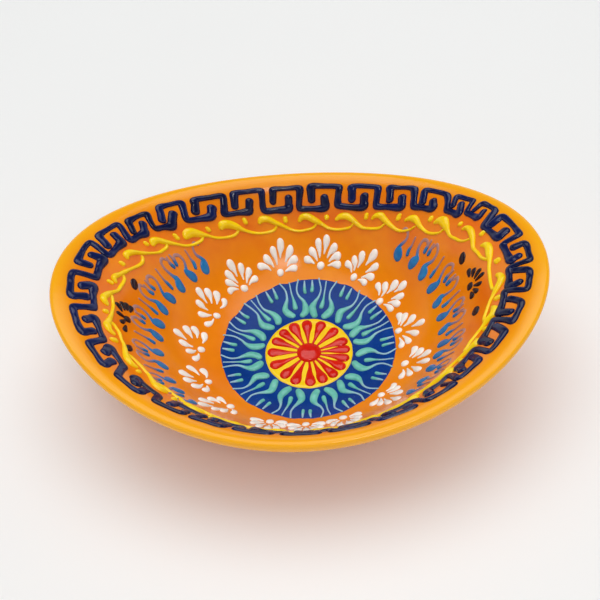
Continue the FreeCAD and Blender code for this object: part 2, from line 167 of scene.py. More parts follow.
def pool(path, cell):
    """Plan grid of one trailed stroke: points, faces, roundness 0 to 1, along 0 to 1, half width."""
    x0, y0 = (path[:, :2] - path[:, 2:3]).min(0) - cell
    x1, y1 = (path[:, :2] + path[:, 2:3]).max(0) + cell
    xs = np.arange(x0, x1 + cell, cell)
    ys = np.arange(y0, y1 + cell, cell)
    gx, gy = np.meshgrid(xs, ys, indexing="ij")
    best = np.full(gx.shape, 1e9)
    near_x, near_y, half, along = [np.zeros(gx.shape) for _ in range(4)]
    lengths = np.hypot(*np.diff(path[:, :2], axis=0).T)
    marks = np.concatenate([[0], np.cumsum(lengths)]) / max(lengths.sum(), 1e-9)
    for i in range(len(path) - 1):
        ax, ay, ar = path[i]
        bx, by, br = path[i + 1]
        run = max((bx - ax) ** 2 + (by - ay) ** 2, 1e-12)
        t = np.clip(((gx - ax) * (bx - ax) + (gy - ay) * (by - ay)) / run, 0, 1)
        cx = ax + (bx - ax) * t
        cy = ay + (by - ay) * t
        r = ar + (br - ar) * t
        gap = np.hypot(gx - cx, gy - cy) - r
        closer = gap < best
        best = np.where(closer, gap, best)
        near_x = np.where(closer, cx, near_x)
        near_y = np.where(closer, cy, near_y)
        half = np.where(closer, r, half)
        along = np.where(closer, marks[i] + (marks[i + 1] - marks[i]) * t, along)
    inside = best < 0
    cells = inside[:-1, :-1] | inside[1:, :-1] | inside[1:, 1:] | inside[:-1, 1:]
    reach = np.hypot(gx - near_x, gy - near_y)
    pull = np.where(inside, 1.0, half / np.maximum(reach, 1e-9))
    px = near_x + (gx - near_x) * pull
    py = near_y + (gy - near_y) * pull
    roundness = np.clip(np.hypot(px - near_x, py - near_y) / half, 0, 1)
    used = np.zeros(gx.shape, bool)
    ci, ck = np.nonzero(cells)
    for di, dk in ((0, 0), (1, 0), (1, 1), (0, 1)):
        used[ci + di, ck + dk] = True
    index = np.full(gx.shape, -1)
    index[used] = np.arange(used.sum())
    faces = np.stack([index[ci, ck], index[ci + 1, ck], index[ci + 1, ck + 1],
                      index[ci, ck + 1]], 1)
    return px[used], py[used], faces, roundness[used], along[used], half[used]


def trailed(name, strokes, rise, cell, material, replaced, place=None, lift=0.0,
            flatness=2.3, hand=0.10, level=None):
    """One piece made of raised strokes. A stroke is a list of (x, y, half width) points; place
    moves its flat points into the plan, and level gives a flat height instead of the wall."""
    points, faces, alongs, tones = [], [], [], []
    start = 0
    for index, stroke in enumerate(strokes):
        path = smooth_path(stroke)
        px, py, cells, n, along, half = pool(path, cell)
        if place is not None:
            px, py = place(index, px, py)
        full = path[:, 2].max()
        dome = (1 - n ** flatness) ** 0.6
        height = rise * dome * (half / full) ** 0.75
        height *= 1 + wobble(px, py, 0.09, 4.0, 5)
        height = np.where(n > 0.999, -SINK, height) + lift
        px = px + wobble(px, py, hand, 7.0, 21)
        py = py + wobble(px, py, hand, 7.0, 22)
        if level is None:
            points.append(on_wall(px, py, height))
        else:
            points.append(np.stack([px, py, level + height], -1))
        faces.append(cells + start)
        alongs.append(along)
        tones.append(np.full(len(px), rng.uniform(0, 1)))
        start += len(px)
    new_piece(name, np.concatenate(points), np.concatenate(faces).tolist(), material,
              replaced, {"along": np.concatenate(alongs), "tone": np.concatenate(tones)})


# ---------------------------------------------------------------- laying out repeats
def turned(points, angle, centre=(0.0, 0.0)):
    """Points out and aside from a centre, turned by an angle in degrees."""
    c = math.cos(math.radians(angle))
    s = math.sin(math.radians(angle))
    return [(centre[0] + out * c - side * s, centre[1] + out * s + side * c, half)
            for out, side, half in points]


def jitter(points, size):
    """The same stroke as an unsteady hand lays it."""
    return [(x + rng.uniform(-size, size), y + rng.uniform(-size, size),
             half * rng.uniform(0.93, 1.07)) for x, y, half in points]


def band_place(inner, outer, pitch, width, angles):
    """Maps flat mm along and across a band, for each repeat, into the plan."""
    count = len(angles)
    numbers = np.arange(-BAND_OVERLAP, count + BAND_OVERLAP)
    turns = np.array([angles[i % count] + 360 * (i // count) for i in numbers])

    def place(index, along, across):
        angle = np.radians(np.interp(index + along / pitch, numbers, turns))
        v = across / width
        return ((inner[0] + (outer[0] - inner[0]) * v) * np.cos(angle),
                (inner[1] + (outer[1] - inner[1]) * v) * np.sin(angle))
    return place


# ---------------------------------------------------------------- materials
LIP_HALF_LENGTH = 0.080         # in metres, as the materials' coordinates are
LIP_HALF_WIDTH = 0.0583


class Nodes:
    """Small helper that builds a node material step by step."""

    def __init__(self, name):
        self.material = bpy.data.materials.new(name)
        self.material.use_nodes = True
        self.tree = self.material.node_tree
        self.tree.nodes.clear()
        self.shader = self.add("ShaderNodeBsdfPrincipled")
        output = self.add("ShaderNodeOutputMaterial")
        self.link(self.shader.outputs[0], output.inputs[0])
        coordinates = self.add("ShaderNodeTexCoord")
        self.place = coordinates.outputs["Object"]

    def add(self, kind, **settings):
        node = self.tree.nodes.new(kind)
        for key, value in settings.items():
            setattr(node, key, value)
        return node

    def link(self, source, target):
        self.tree.links.new(source, target)

    def noise(self, scale, detail=3.0, rough=0.5, stretch=None):
        node = self.add("ShaderNodeTexNoise")
        node.inputs["Scale"].default_value = scale
        node.inputs["Detail"].default_value = detail
        node.inputs["Roughness"].default_value = rough
        if stretch is None:
            self.link(self.place, node.inputs["Vector"])
        else:
            mapping = self.add("ShaderNodeMapping")
            mapping.inputs["Scale"].default_value = stretch
            self.link(self.place, mapping.inputs["Vector"])
            self.link(mapping.outputs[0], node.inputs["Vector"])
        return node.outputs["Fac"]

    def remap(self, value, low, high, to_low, to_high):
        node = self.add("ShaderNodeMapRange")
        self.link(value, node.inputs["Value"])
        for key, number in zip(("From Min", "From Max", "To Min", "To Max"),
                               (low, high, to_low, to_high)):
            node.inputs[key].default_value = number
        return node.outputs["Result"]

    def math(self, operation, first, second):
        node = self.add("ShaderNodeMath", operation=operation)
        for socket, value in zip(node.inputs, (first, second)):
            if hasattr(value, "links"):
                self.link(value, socket)
            else:
                socket.default_value = value
        return node.outputs[0]

    def ramp(self, value, stops):
        node = self.add("ShaderNodeValToRGB")
        elements = node.color_ramp.elements
        while len(elements) < len(stops):
            elements.new(0.5)
        for element, (position, colour) in zip(elements, stops):
            element.position = position
            element.color = (*colour, 1)
        self.link(value, node.inputs[0])
        return node.outputs[0]

    def mix(self, factor, first, second):
        node = self.add("ShaderNodeMix", data_type="RGBA")
        for socket, value in ((node.inputs[0], factor), (node.inputs[6], first),
                              (node.inputs[7], second)):
            if hasattr(value, "links"):
                self.link(value, socket)
            elif isinstance(value, tuple):
                socket.default_value = (*value, 1)
            else:
                socket.default_value = value
        return node.outputs[2]

    def attribute(self, name):
        return self.add("ShaderNodeAttribute", attribute_name=name).outputs["Fac"]

    def bump(self, value, strength, distance):
        node = self.add("ShaderNodeBump")
        node.inputs["Strength"].default_value = strength
        node.inputs["Distance"].default_value = distance
        self.link(value, node.inputs["Height"])
        self.link(node.outputs[0], self.shader.inputs["Normal"])

    def set(self, **values):
        for key, value in values.items():
            socket = self.shader.inputs[key.replace("_", " ")]
            if hasattr(value, "links"):
                self.link(value, socket)
            else:
                socket.default_value = value


def enamel(name, low, high, rough=0.18, tail=None, scale=500.0, coat=0.10, gloss=0.32):
    """Glossy fired enamel: the colour drifts between two tones, thins toward a tail colour."""
    m = Nodes(name)
    drift = m.remap(m.noise(scale, 3.0), 0.3, 0.7, 0.0, 1.0)
    stroke = m.math("MULTIPLY", m.attribute("tone"), 0.45)
    colour = m.mix(m.math("ADD", m.math("MULTIPLY", drift, 0.6), stroke), low, high)
    if tail is not None:
        along = m.remap(m.attribute("along"), tail[0], tail[1], 0.0, 1.0)
        colour = m.mix(along, colour, tail[2])
    m.set(Base_Color=colour, Roughness=m.remap(m.noise(900.0, 2.0), 0.3, 0.7, rough * 0.8,
                                               rough * 1.3),
          Coat_Weight=coat, Coat_Roughness=0.05, Specular_IOR_Level=gloss)
    m.bump(m.noise(650.0, 3.0), 0.25, 0.0002)
    return m.material


def glaze_material():
    """Orange glaze with streaks, a redder blush on the wall below the lip and a yellower lip."""
    m = Nodes("orange_glaze_look")
    split = m.add("ShaderNodeSeparateXYZ")
    m.link(m.place, split.inputs[0])
    across = m.math("MULTIPLY", split.outputs[0], 1 / LIP_HALF_LENGTH)
    deep = m.math("MULTIPLY", split.outputs[1], 1 / LIP_HALF_WIDTH)
    reach = m.math("ADD", m.math("MULTIPLY", across, across), m.math("MULTIPLY", deep, deep))
    body = m.ramp(m.remap(m.noise(38.0, 4.0, 0.55), 0.3, 0.7, 0.0, 1.0),
                  [(0.0, (0.82, 0.205, 0.001)), (0.5, (0.88, 0.250, 0.002)),
                   (1.0, (0.91, 0.290, 0.003))])
    streaks = m.remap(m.noise(120.0, 3.0, 0.6, (1.0, 1.0, 0.25)), 0.45, 0.75, 0.0, 0.35)
    body = m.mix(streaks, body, (0.80, 0.190, 0.003))
    blush = m.math("MULTIPLY", m.remap(reach, 0.36, 0.60, 0.0, 1.0),
                   m.remap(reach, 0.72, 0.84, 1.0, 0.0))
    patches = m.remap(m.noise(95.0, 3.0, 0.5), 0.42, 0.70, 0.10, 0.75)
    body = m.mix(m.math("MULTIPLY", blush, patches), body, (0.78, 0.130, 0.002))
    lip = m.remap(reach, 0.80, 0.96, 0.0, 0.85)
    body = m.mix(lip, body, (0.93, 0.430, 0.006))
    specks = m.remap(m.noise(2600.0, 1.0), 0.72, 0.80, 0.0, 0.35)
    body = m.mix(specks, body, (0.55, 0.130, 0.004))
    m.set(Base_Color=body, Roughness=m.remap(m.noise(60.0, 3.0), 0.3, 0.7, 0.13, 0.24),
          Coat_Weight=0.08, Coat_Roughness=0.04, Specular_IOR_Level=0.26)
    m.bump(m.noise(260.0, 3.0, 0.45), 0.22, 0.0003)
    return m.material


def clay_material():
    """Bare fired clay of the foot."""
    m = Nodes("clay_look")
    grain = m.remap(m.noise(900.0, 5.0, 0.65), 0.25, 0.75, 0.0, 1.0)
    colour = m.ramp(grain, [(0.0, (0.56, 0.40, 0.27)), (0.6, (0.68, 0.53, 0.39)),
                            (1.0, (0.76, 0.63, 0.49))])
    stain = m.remap(m.noise(70.0, 4.0, 0.6), 0.5, 0.75, 0.0, 0.45)
    colour = m.mix(stain, colour, (0.60, 0.34, 0.16))
    m.set(Base_Color=colour, Roughness=m.remap(grain, 0.0, 1.0, 0.85, 0.68))
    m.bump(m.noise(1500.0, 4.0, 0.7), 0.45, 0.0003)
    return m.material


# ---------------------------------------------------------------- glaze coat
def glaze_coat(material):
    """The glaze over the inside, the lip and the outside, rolled in where it stops."""
    columns = 384
    angle = np.arange(columns) * 2 * math.pi / columns
    keep = PROFILE[:, 3] + FLOOR_Z > GLAZE_EDGE_Z
    last = int(np.nonzero(keep | (np.arange(len(PROFILE)) < WIDEST))[0].max())
    rows = PROFILE[np.unique(np.linspace(0, last, 330).astype(int))]
    rings = []
    for radius in np.linspace(0.4, 13.4, 14):
        rings.append(np.array([radius, radius, 0.0, 0.0]))
    rings += list(rows)
    end = rows[-1]
    for back, down in ((0.10, 0.10), (0.22, 0.12), (0.34, 0.06), (0.40, -0.10)):
        rings.append(end + np.array([-back, -back, -down, -down]))
    rings = np.array(rings)[:, :, None]
    a, b, end_z, side_z = rings[:, 0], rings[:, 1], rings[:, 2], rings[:, 3]
    x = a * np.cos(angle)
    y = b * np.sin(angle)
    z = FLOOR_Z + (end_z + side_z) / 2 + (end_z - side_z) / 2 * np.cos(2 * angle)
    points = np.stack([x, y, z], -1)
    count = len(rings)
    flat = points.reshape(-1, 3)
    faces = grid_faces(count, columns)
    centre = len(flat)
    flat = np.concatenate([flat, [[0, 0, FLOOR_Z]]])
    faces += [(centre, (k + 1) % columns, k) for k in range(columns)]
    faces = [face[::-1] for face in faces]
    new_piece("glaze_coat", flat, faces, material, ["orange_glaze"],
              {"tone": np.full(len(flat), 0.5), "along": np.zeros(len(flat))})


# ---------------------------------------------------------------- medallion
MEDALLION = (1.2, 0.6)
MEDALLION_RADIUS = 29.9
WASH_START = 14.6               # the wash begins here, under the edge of the sun
SUN = (1.4, 0.3)
SUN_RADIUS = 15.25
SUN_FLAT = 14.4                 # radius where the sun starts to round down
SUN_EDGE = 0.85                 # width of its rounded edge
# Each pair of curls: its angle, and how far its two curls stand apart.
PAIRS = [(18.0, 6.0), (44.5, 7.5), (75.5, 6.5), (102.0, 7.0), (132.5, 5.6), (161.0, 6.0),
         (188.5, 5.6), (219.5, 7.4), (252.0, 7.0), (284.3, 7.2), (313.8, 6.8), (347.0, 7.8)]
PETALS = [3, 20, 45, 70, 93, 114, 134, 154, 177, 202, 227, 248, 271, 291, 310, 328.5, 346]


def cobalt_wash(material):
    """Thin blue ground, brushed round the sun with a slightly uneven edge."""
    columns = 420
    angle = np.arange(columns) * 2 * math.pi / columns
    edge = MEDALLION_RADIUS + wobble(30 * np.cos(angle), 30 * np.sin(angle), 0.28, 9.0, 3)
    edge += wobble(30 * np.cos(angle), 30 * np.sin(angle), 0.07, 3.5, 4)
    steps = np.linspace(0, 1, 70)
    rows = []
    for s in steps:
        radius = WASH_START + (edge - WASH_START) * s
        x = SUN[0] + (MEDALLION[0] - SUN[0]) * s + radius * np.cos(angle)
        y = SUN[1] + (MEDALLION[1] - SUN[1]) * s + radius * np.sin(angle)
        depth = GROUND_RISE * (1 - max(0.0, (s - 0.975) / 0.025) ** 2)
        depth = depth + wobble(x, y, 0.012, 3.0, 9)
        rows.append(on_wall(x, y, np.where(s > 0.999, -SINK, depth)))
    points = np.concatenate(rows)
    faces = [face[::-1] for face in grid_faces(len(steps), columns)]
    new_piece("cobalt_wash", points, faces, material, ["cobalt_ground"],
              {"tone": np.full(len(points), 0.5), "along": np.repeat(steps, columns)})


def sun_disc(material):
    """Yellow disc, thickest just inside its rim where the enamel pooled."""
    columns = 240
    angle = np.arange(columns) * 2 * math.pi / columns
    radii = np.concatenate([[0.05], np.linspace(1, 14.2, 28),
                            np.linspace(SUN_FLAT, SUN_RADIUS, 12)])
    rows = []
    for radius in radii:
        reach = radius + wobble(radius * np.cos(angle), radius * np.sin(angle), 0.06, 5.0, 8)
        x = SUN[0] + reach * np.cos(angle)
        y = SUN[1] + reach * np.sin(angle)
        edge = max(0.0, (radius - SUN_FLAT) / SUN_EDGE)
        depth = SUN_RISE + 0.10 * math.exp(-((radius - 14.1) / 0.7) ** 2)
        height = depth * (1 - edge ** 2.2) ** 0.6 if edge < 1 else -SINK
        rows.append(np.stack([x, y, np.full(columns, FLOOR_Z + height)], -1))
    points = np.concatenate(rows)
    faces = [face[::-1] for face in grid_faces(len(radii), columns)]
    faces.append(tuple(range(columns)))
    new_piece("sun_disc_enamel", points, faces, material, ["sun_disc"],
              {"tone": np.full(len(points), 0.5),
               "along": np.repeat(radii / SUN_RADIUS, columns)})


def medallion_strokes():
    """Curls, darts and edge marks of the turquoise ring."""
    large, darts, marks = [], [], []
    for i, (angle, spread) in enumerate(PAIRS):
        wide = spread / 6.8
        shape = [(16.8, 1.7, 1.12), (17.9, 2.7, 1.36), (19.9, 3.5, 1.22), (22.0, 3.1, 0.74),
                 (24.4, 2.1, 0.40), (27.0, 2.0, 0.31), (29.9, 3.3, 0.28)]
        for hand in (1, -1):
            long = rng.uniform(-0.5, 0.6)
            curled = [(out + long * (30 - out) / 13, hand * side * wide, half)
                      for out, side, half in shape]
            large.append(jitter(turned(curled, angle, MEDALLION), 0.16))
        dart = [(20.3, 0, 0.82), (21.7, 0, 0.74), (23.6, 0, 0.42), (26.5, 0, 0.27),
                (29.6, 0, 0.24)]
        darts.append(jitter(turned(dart, angle + rng.uniform(-0.8, 0.8), MEDALLION), 0.12))
        after = PAIRS[(i + 1) % len(PAIRS)][0] + (360 if i == len(PAIRS) - 1 else 0)
        middle = (angle + after) / 2
        for turn in (-2.7, 2.7):
            out = rng.uniform(-0.6, 0.4)
            mark = [(25.9 + out, 0, 0.62), (27.0 + out, 0, 0.58), (29.4, 0, 0.27)]
            marks.append(jitter(turned(mark, middle + turn, MEDALLION), 0.12))
    return large, darts, marks


# ---------------------------------------------------------------- wall motifs
# Each key unit: its angle, then left tip, lower left, lower right, upper left, upper right and
# right tip, in mm along and across the band from the foot of its riser. The plain unit serves
# along the front.
PLAIN_KEY = ((-8.6, 4.0), (-9.4, 0.3), (0.2, 0.2), (0.2, 8.0), (9.1, 8.0), (9.2, 3.0))
KEY_UNITS = [
    (0.7, (-9.2, 4.1), (-9.8, 0.7), (-0.2, 0.6), (-0.2, 7.9), (8.1, 8.1), (7.9, 4.3)),
    (14.0, (-9.5, 4.6), (-10.1, 1.6), (-1.0, 1.5), (-0.3, 8.2), (9.5, 8.6), (8.8, 3.5)),
    (29.0, (-9.3, 5.3), (-10.2, 1.7), (-2.7, 1.8), (0.2, 9.3), (9.6, 9.4), (9.3, 5.7)),
    (36.5, (-8.6, 6.4), (-10.6, 3.4), (-0.8, 3.7), (2.3, 9.1), (11.0, 8.8), (8.6, 4.4)),
    (45.0, (-7.2, 6.0), (-11.2, 1.9), (-3.0, 2.3), (2.5, 8.6), (11.3, 8.9), (9.2, 3.4)),
    (55.5, (-7.4, 4.8), (-9.7, 1.5), (-1.2, 1.6), (2.1, 8.6), (10.3, 8.6), (8.4, 3.2)),
    (67.0, (-8.4, 4.3), (-9.9, 0.6), (-0.5, 0.6), (1.1, 8.2), (9.5, 8.3), (8.4, 3.1)),
    (78.5, (-8.3, 4.3), (-9.3, 0.1), (0.2, 0.6), (0.4, 8.2), (9.2, 8.6), (8.9, 3.1)),
    (90.0, (-8.2, 4.1), (-8.9, -0.1), (0.3, 0.0), (-0.3, 8.0), (8.9, 8.1), (9.6, 3.2)),
    (100.3, (-9.0, 4.0), (-8.8, 0.1), (0.8, 0.1), (0.0, 8.0), (8.9, 8.1), (10.3, 2.8)),
    (111.3, (-8.0, 4.0), (-7.0, 0.1), (1.9, 0.1), (-0.4, 7.5), (8.1, 7.8), (10.2, 2.7)),
    (124.0, (-8.2, 3.4), (-6.5, -0.2), (1.7, 0.2), (-0.6, 8.1), (6.7, 8.0), (9.4, 2.4)),
    (136.2, (-8.6, 3.9), (-5.0, -0.7), (1.8, 0.2), (-1.0, 7.2), (7.4, 6.7), (10.6, 1.9)),
    (146.6, (-9.0, 3.5), (-6.2, 0.0), (1.9, 0.0), (-1.1, 7.6), (7.8, 7.6), (10.1, 2.8)),
    (159.4, (-8.9, 4.5), (-7.8, 0.5), (0.9, 0.0), (-0.8, 8.0), (8.4, 7.1), (8.4, 3.0)),
    (174.3, (-8.9, 4.3), (-9.5, 0.5), (-0.7, -0.3), (0.2, 7.2), (9.2, 6.7), (8.2, 1.8)),
    (190.2, (-8.3, 3.4), (-9.9, -0.2), (-1.2, -0.6), (0.4, 6.7), (9.8, 7.0), (8.7, 2.8)),
    (205.0, (-8.3, 3.6), (-9.7, 0.0), (-1.2, 0.5), (0.9, 7.0), (10.0, 8.0), (8.1, 3.8)),
    (218.6, (-8.2, 3.5), (-11.1, 0.3), (-3.0, 0.9), (1.8, 7.7), (9.8, 8.2), (8.8, 4.6)),
    (231.4, (-7.2, 4.6), (-10.4, 1.5), (-1.1, 2.4), (1.6, 7.8), (9.8, 7.8), (9.2, 4.1)),
    (243.0, *PLAIN_KEY), (254.0, *PLAIN_KEY), (265.5, *PLAIN_KEY), (277.0, *PLAIN_KEY),
    (289.0, *PLAIN_KEY), (301.0, *PLAIN_KEY),
    (312.6, (-9.2, 3.2), (-7.2, -0.8), (1.8, -0.9), (-1.0, 6.5), (7.6, 6.1), (10.8, 0.8)),
    (324.0, (-9.4, 2.8), (-6.9, -1.0), (2.0, -1.3), (-1.1, 6.6), (7.2, 6.4), (10.9, 0.9)),
    (336.5, (-9.4, 3.3), (-7.4, -1.0), (1.9, -1.3), (-1.5, 6.8), (6.6, 6.8), (10.0, 1.7)),
    (348.5, (-9.8, 3.9), (-8.5, -0.2), (2.0, -0.6), (-0.6, 7.3), (8.2, 7.3), (10.2, 2.5))]
# Each wave: its angle, head along and across, level of its trough, size of the head. The ten
# along the front, from 225.5 to 342 degrees, are one wave with small changes.
WAVES = [
    (15.8, 1.0, 4.6, 0.9, 1.20), (30.0, 0.1, 5.8, 1.0, 1.10), (42.0, 0.3, 5.5, 0.9, 1.55),
    (53.0, 0.2, 4.7, 0.4, 1.15), (64.5, 0.4, 4.7, -0.2, 1.10), (76.0, 0.3, 4.5, -0.1, 1.20),
    (88.6, -0.3, 4.6, -0.3, 1.10), (101.3, -0.2, 4.6, -0.2, 1.15), (114.0, 0.0, 3.9, -0.3, 1.45),
    (127.0, 0.2, 2.9, -0.6, 1.55), (140.6, 0.0, 3.5, -1.2, 1.20), (153.0, 0.5, 3.6, -0.4, 1.10),
    (167.5, 0.5, 1.6, -1.1, 0.90), (181.0, 0.5, 2.9, -1.4, 1.10), (196.4, 0.0, 3.4, -0.2, 1.05),
    (212.4, 0.5, 3.9, 0.0, 1.10), (225.5, 0.2, 3.9, -0.1, 1.15), (238.0, 0.4, 3.7, -0.2, 1.15),
    (250.5, 0.1, 4.0, -0.2, 1.10), (263.0, 0.4, 3.8, -0.1, 1.20), (276.0, 0.2, 3.9, -0.3, 1.15),
    (289.0, 0.4, 4.0, -0.1, 1.10), (302.0, 0.1, 3.7, -0.2, 1.20), (315.5, 0.3, 3.9, 0.0, 1.10),
    (328.5, 0.2, 4.0, 0.1, 1.15), (342.0, 0.5, 4.2, 0.3, 1.20), (357.0, 0.6, 4.5, 0.5, 1.20)]
WAVE_DOTS = {0: (7.3, 6.7), 1: (4.9, 6.2), 2: (5.2, 5.2), 3: (5.5, 4.3), 4: (4.9, 4.3),
             5: (5.8, 3.9), 6: (6.3, 3.9), 7: (6.4, 4.3), 8: (6.4, 3.1), 9: (5.2, 2.6),
             10: (3.9, 3.5), 11: (6.1, 2.3), 12: (3.9, 1.9), 13: (6.0, 2.5), 14: (4.8, 3.4),
             15: (5.1, 4.0), 26: (7.2, 4.8)}
# Each running band: inner oval, outer oval, length of one repeat, true width of the band.
KEY_BAND = ((66.9, 47.9), (74.0, 52.3), 12.9, 7.7)
SCROLL_BAND = ((61.3, 43.6), (65.8, 46.8), 13.1, 5.5)
BAND_OVERLAP = 3                # repeats laid out past each end, so that a band closes
KEY_CORNER_HALF = (1.42, 1.62, 1.22, 1.24, 1.38, 1.36)  # half width of the line at the six corners
KEY_BAR_HALF = (1.46, 1.14, 1.14, 1.16, 1.32)        # and halfway between them
KEY_BEND = 0.8                # the line bends this far before and after a corner
KEY_BEND_SHARE = 0.35         # but never over more than this share of a bar
# Each fan: its dot, then the middles of the heads of its seven drops.
FANS = [
    ((32.5, 5.0), (33.0, 11.0), (34.8, 10.0), (37.3, 8.0), (40.3, 5.0), (38.0, 1.7),
     (35.5, -0.5), (33.0, -1.3)),
    ((26.7, 18.5), (26.3, 24.0), (28.8, 23.3), (32.0, 22.5), (35.0, 21.0), (33.8, 17.7),
     (32.5, 15.5), (30.4, 14.5)),
    ((18.0, 29.0), (16.0, 33.3), (18.5, 34.0), (21.2, 34.2), (25.3, 33.3), (25.7, 30.0),
     (24.0, 27.5), (21.5, 26.5)),
    ((6.5, 34.3), (1.5, 36.3), (3.5, 38.3), (5.9, 40.0), (8.9, 40.5), (11.5, 38.4),
     (12.5, 36.0), (12.4, 33.7)),
    ((-8.0, 32.7), (-14.8, 33.8), (-12.8, 36.0), (-10.3, 38.3), (-7.6, 40.2), (-4.2, 38.8),
     (-3.0, 36.5), (-3.0, 34.0)),
    ((-20.9, 26.5), (-25.5, 24.8), (-26.2, 27.1), (-26.2, 29.6), (-25.3, 32.5), (-21.8, 32.6),
     (-19.0, 31.8), (-17.0, 30.0)),
    ((-30.3, 14.8), (-28.0, 20.8), (-30.4, 22.3), (-33.2, 22.2), (-36.0, 21.3), (-36.3, 17.5),
     (-35.5, 13.9), (-33.5, 11.0)),
    ((-35.2, -0.2), (-34.5, 6.0), (-37.6, 7.3), (-40.2, 6.3), (-43.0, 3.5), (-41.2, 0.2),
     (-39.2, -2.3), (-37.0, -4.8)),
    ((-32.3, -14.3), (-34.3, -9.6), (-38.2, -10.0), (-40.3, -13.8), (-38.8, -16.7),
     (-36.2, -18.5), (-33.0, -18.7)),
    ((-24.5, -25.0), (-28.3, -22.0), (-31.0, -23.3), (-33.2, -25.8), (-32.8, -29.3),
     (-29.2, -29.6), (-26.5, -28.9), (-23.3, -28.6)),
    ((-11.6, -31.5), (-16.8, -31.0), (-16.6, -33.6), (-14.8, -36.4), (-11.9, -37.7),
     (-9.2, -36.6), (-7.4, -34.3), (-6.8, -31.8)),
    ((0.2, -33.0), (-5.0, -33.4), (-4.2, -36.0), (-2.2, -38.3), (0.5, -38.8), (3.0, -38.0),
     (4.7, -35.9), (5.4, -33.2)),
    ((12.4, -31.0), (7.6, -32.9), (9.1, -35.3), (11.5, -37.3), (14.4, -37.3), (16.7, -35.5),
     (17.6, -33.1), (17.6, -30.4)),
    ((25.3, -22.3), (29.5, -19.0), (30.3, -21.2), (31.2, -24.2), (30.2, -28.2), (27.2, -28.3),
     (24.5, -27.3), (22.3, -26.2)),
    ((33.8, -10.0), (37.3, -5.0), (39.0, -7.0), (41.2, -9.3), (40.6, -13.3), (37.7, -15.5),
     (35.0, -15.9), (32.2, -15.7))]
BLUE_OVAL = (47.3, 42.0)        # the curls stand square to this oval
# Heads of the blue curls, two to a pair, going round each end of the bowl.
BLUE_HEADS = {
    "right": [(33.8, 30.0), (38.3, 25.7), (41.5, 20.5), (44.4, 14.7), (45.7, 8.2), (46.6, 2.4),
              (46.5, -3.8), (46.0, -9.5), (44.2, -14.2), (41.5, -19.0), (38.2, -24.0),
              (34.5, -27.7)],
    "left": [(-34.0, 29.0), (-38.2, 25.1), (-42.0, 20.0), (-45.0, 14.6), (-47.4, 9.0),
             (-48.2, 3.2), (-48.5, -2.7), (-47.7, -9.6), (-45.8, -15.5), (-43.0, -21.8),
             (-40.0, -26.9), (-35.7, -30.8)]}


def between(first, second, share):
    """Point at a share of the way from the first to the second."""
    return tuple(p + (q - p) * share for p, q in zip(first, second))


def key_strokes():
    """One stroke for each key unit, in flat band coordinates."""
    strokes = []
    for unit in KEY_UNITS:
        corners = unit[1:]
        line = [(*corners[0], KEY_CORNER_HALF[0])]
        for k in range(1, 6):
            here, back = corners[k], corners[k - 1]
            line.append((*between(back, here, 0.5), KEY_BAR_HALF[k - 1]))
            if k < 5:
                for corner in (back, corners[k + 1]):
                    share = min(KEY_BEND / math.dist(here, corner), KEY_BEND_SHARE)
                    line.append((*between(here, corner, share), KEY_CORNER_HALF[k]))
            else:
                line.append((*here, KEY_CORNER_HALF[k]))
        strokes.append([(x + rng.uniform(-0.08, 0.08), y + rng.uniform(-0.08, 0.08),
                         r * rng.uniform(0.95, 1.07)) for x, y, r in line])
    return strokes


def wave_strokes():
    """One long-tailed stroke and one dot for each wave, in flat band coordinates."""
    strokes, dots = [], []
    for i, (_, x, y, low, head) in enumerate(WAVES):
        climb = y - low
        line = [(x - 16.5, low + 1.7, 0.50), (x - 15.6, low + 0.6, 0.56),
                (x - 13.7, low + 0.05, 0.56), (x - 11.0, low - 0.1, 0.55),
                (x - 8.1, low + 0.35, 0.58), (x - 5.4, low + 0.12 + climb * 0.34, 0.76),
                (x - 3.0, low + climb * 0.70, head * 0.92), (x - 0.8, y - 0.1, head * 1.12),
                (x + 0.9, y - 0.15, head * 1.0), (x + 2.0, y - 1.2, head * 0.56)]
        strokes.append(jitter(line, 0.12))
        place_x, place_y = WAVE_DOTS.get(i, (6.0 + rng.uniform(-0.5, 0.5), 3.9))
        r = rng.uniform(0.8, 1.0)
        tall = rng.uniform(0.15, 0.6)
        dots.append([(place_x, place_y - tall, r), (place_x + 0.1, place_y + tall, r * 0.9)])
    return strokes, dots


def fan_strokes():
    """The dot and the seven drops of each fan, the drops pointing at the dot."""
    drops, dots = [], []
    for dot, *heads in FANS:
        r = rng.uniform(1.1, 1.25)
        dots.append([(dot[0] - 0.15, dot[1], r), (dot[0] + 0.15, dot[1] + 0.1, r * 0.95)])
        for k, head in enumerate(heads):
            reach = math.dist(dot, head)
            long = min(3.4, reach - 1.9) * rng.uniform(0.88, 1.0)
            share = (reach - long) / reach
            middle = len(heads) / 2 - 0.5
            bend = 0.4 * (k - middle) / middle + rng.uniform(-0.15, 0.15)
            across = ((dot[1] - head[1]) / reach * bend, (head[0] - dot[0]) / reach * bend)
            half = 1.06 + 0.16 * (1 - abs(k - middle) / middle) + rng.uniform(-0.08, 0.08)
            line = []
            for s, sway, wide in ((0.0, 0.0, 0.25), (0.4, 0.9, 0.55), (0.8, 0.7, half * 0.92),
                                  (1.05, 0.0, half)):
                x, y = between(dot, head, share + (1 - share) * s)
                line.append((x + across[0] * sway, y + across[1] * sway, wide))
            drops.append(jitter(line, 0.08))
    return drops, dots


